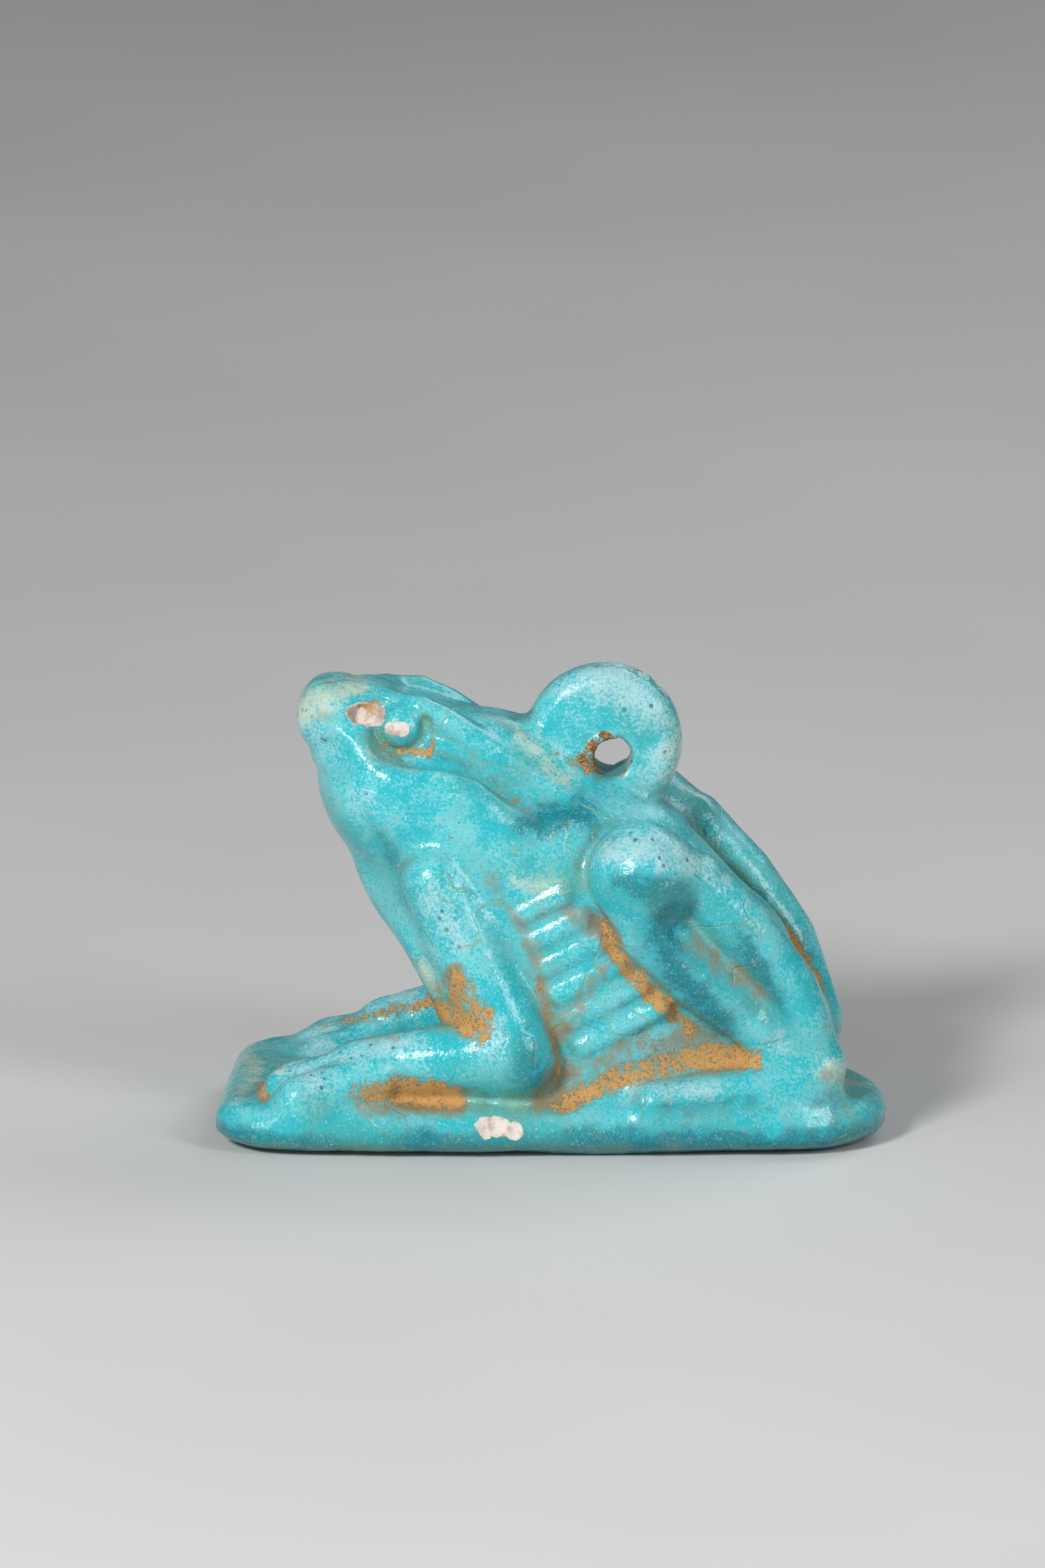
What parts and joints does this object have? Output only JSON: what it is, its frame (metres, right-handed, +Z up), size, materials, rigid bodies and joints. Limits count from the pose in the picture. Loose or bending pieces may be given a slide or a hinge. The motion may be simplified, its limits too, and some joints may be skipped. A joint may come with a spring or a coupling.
{
  "type": "frog amulet",
  "caption": "Turquoise glazed faience amulet of a crouching frog on a flat plinth, with a pierced disc on its back for a cord.",
  "frame": {"origin": "centre of the plinth's footprint, on its flat underside", "axes": "+Z up, -X the way that the frog faces, the frog's left flank at -Y"},
  "size_m": [0.024, 0.0125, 0.0169],
  "materials": {
    "glaze": "gloss"
  },
  "bodies": {
    "root": {"frog_amulet": "glaze"}
  },
  "joints": []
}
